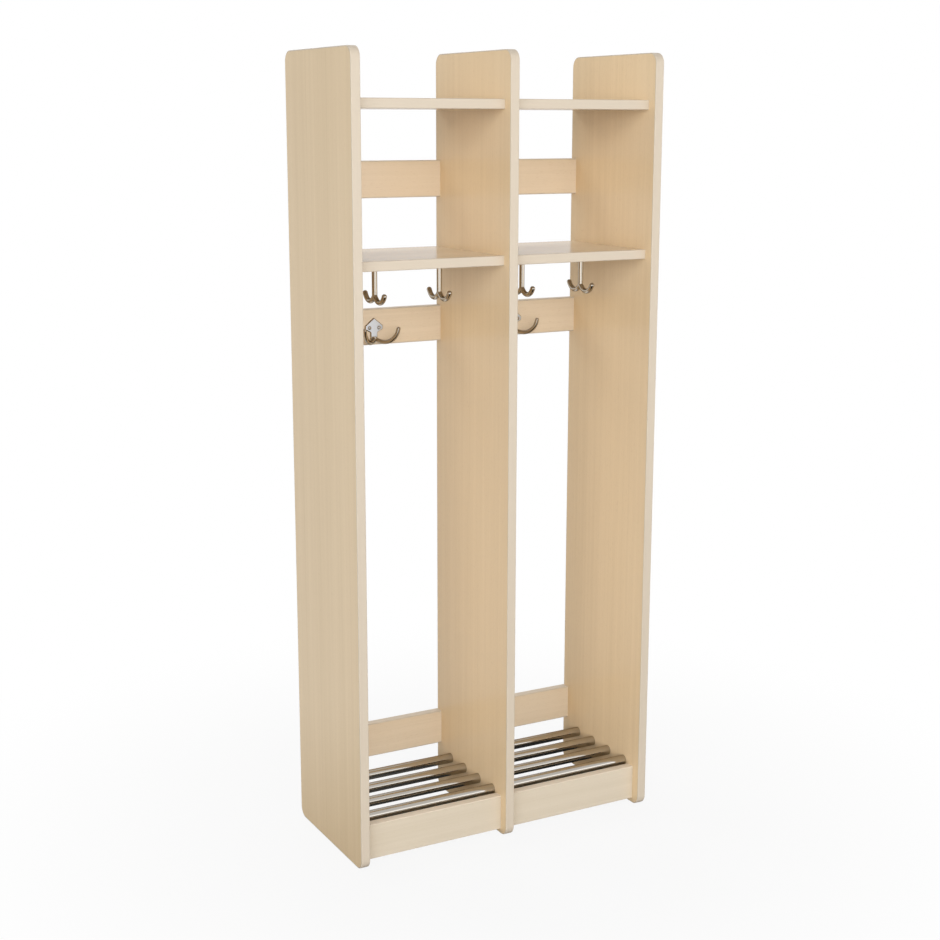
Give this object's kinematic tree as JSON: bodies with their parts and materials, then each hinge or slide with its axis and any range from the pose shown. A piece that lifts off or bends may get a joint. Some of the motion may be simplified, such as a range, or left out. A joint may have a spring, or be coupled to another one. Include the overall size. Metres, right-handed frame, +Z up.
{
  "type": "mudroom locker unit",
  "caption": "Open cloakroom locker unit of maple boards with hat shelves, coat hooks under the shelf and on a back rail, and a shoe rack of chrome tubes behind a kick board.",
  "frame": {"origin": "on the floor, under the middle of the unit", "axes": "+Z up, +Y from the open front to the back, +X from the left side to the right side seen from the front"},
  "size_m": [0.64, 0.292, 1.5],
  "materials": {
    "maple_board": "satin maple-grain melamine on particle board",
    "maple_edge_band": "satin maple-coloured edge band with rounded edges",
    "tube_chrome": "polished chrome on steel tube",
    "hook_chrome": "polished chrome on cast metal",
    "screw_steel": "bright zinc-plated steel",
    "cam_zinc": "bare zinc casting",
    "bolt_steel": "zinc-plated steel",
    "dowel_beech": "plain beech"
  },
  "bodies": {
    "cabinet": {"left_side": "maple_board", "middle_divider": "maple_board", "right_side": "maple_board", "middle_shelf_left": "maple_board", "top_shelf_left": "maple_board", "upper_rail_left": "maple_board", "hook_rail_left": "maple_board", "lower_rail_left": "maple_board", "kick_board_left": "maple_board", "middle_shelf_right": "maple_board", "top_shelf_right": "maple_board", "upper_rail_right": "maple_board", "hook_rail_right": "maple_board", "lower_rail_right": "maple_board", "kick_board_right": "maple_board", "left_side_edge_band": "maple_edge_band", "middle_divider_edge_band": "maple_edge_band", "right_side_edge_band": "maple_edge_band", "middle_shelf_left_front_band": "maple_edge_band", "top_shelf_left_front_band": "maple_edge_band", "upper_rail_left_top_band": "maple_edge_band", "upper_rail_left_bottom_band": "maple_edge_band", "hook_rail_left_top_band": "maple_edge_band", "hook_rail_left_bottom_band": "maple_edge_band", "lower_rail_left_top_band": "maple_edge_band", "lower_rail_left_bottom_band": "maple_edge_band", "kick_board_left_top_band": "maple_edge_band", "kick_board_left_bottom_band": "maple_edge_band", "middle_shelf_right_front_band": "maple_edge_band", "top_shelf_right_front_band": "maple_edge_band", "upper_rail_right_top_band": "maple_edge_band", "upper_rail_right_bottom_band": "maple_edge_band", "hook_rail_right_top_band": "maple_edge_band", "hook_rail_right_bottom_band": "maple_edge_band", "lower_rail_right_top_band": "maple_edge_band", "lower_rail_right_bottom_band": "maple_edge_band", "kick_board_right_top_band": "maple_edge_band", "kick_board_right_bottom_band": "maple_edge_band", "ceiling_hook_left_1": "hook_chrome", "ceiling_hook_left_2": "hook_chrome", "wall_hook_left": "hook_chrome", "ceiling_hook_right_1": "hook_chrome", "ceiling_hook_right_2": "hook_chrome", "wall_hook_right": "hook_chrome", "cam_discs": "cam_zinc", "cam_bolts": "bolt_steel", "wood_dowels": "dowel_beech", "wall_hook_screws": "screw_steel"},
    "shoe_tube_left_1": {"shoe_tube_left_1": "tube_chrome"},
    "shoe_tube_left_2": {"shoe_tube_left_2": "tube_chrome"},
    "shoe_tube_left_3": {"shoe_tube_left_3": "tube_chrome"},
    "shoe_tube_left_4": {"shoe_tube_left_4": "tube_chrome"},
    "shoe_tube_right_1": {"shoe_tube_right_1": "tube_chrome"},
    "shoe_tube_right_2": {"shoe_tube_right_2": "tube_chrome"},
    "shoe_tube_right_3": {"shoe_tube_right_3": "tube_chrome"},
    "shoe_tube_right_4": {"shoe_tube_right_4": "tube_chrome"}
  },
  "joints": [
    {"name": "shoe_tube_left_1_turn", "type": "hinge", "parent": "cabinet", "child": "shoe_tube_left_1", "pos_m": [-0.1555, -0.0912, 0.0822], "axis": [1, 0, 0], "continuous": true},
    {"name": "shoe_tube_left_2_turn", "type": "hinge", "parent": "cabinet", "child": "shoe_tube_left_2", "pos_m": [-0.1555, -0.0322, 0.0822], "axis": [1, 0, 0], "continuous": true},
    {"name": "shoe_tube_left_3_turn", "type": "hinge", "parent": "cabinet", "child": "shoe_tube_left_3", "pos_m": [-0.1555, 0.0268, 0.0822], "axis": [1, 0, 0], "continuous": true},
    {"name": "shoe_tube_left_4_turn", "type": "hinge", "parent": "cabinet", "child": "shoe_tube_left_4", "pos_m": [-0.1555, 0.0858, 0.0822], "axis": [1, 0, 0], "continuous": true},
    {"name": "shoe_tube_right_1_turn", "type": "hinge", "parent": "cabinet", "child": "shoe_tube_right_1", "pos_m": [0.1555, -0.0912, 0.0822], "axis": [1, 0, 0], "continuous": true},
    {"name": "shoe_tube_right_2_turn", "type": "hinge", "parent": "cabinet", "child": "shoe_tube_right_2", "pos_m": [0.1555, -0.0322, 0.0822], "axis": [1, 0, 0], "continuous": true},
    {"name": "shoe_tube_right_3_turn", "type": "hinge", "parent": "cabinet", "child": "shoe_tube_right_3", "pos_m": [0.1555, 0.0268, 0.0822], "axis": [1, 0, 0], "continuous": true},
    {"name": "shoe_tube_right_4_turn", "type": "hinge", "parent": "cabinet", "child": "shoe_tube_right_4", "pos_m": [0.1555, 0.0858, 0.0822], "axis": [1, 0, 0], "continuous": true}
  ]
}
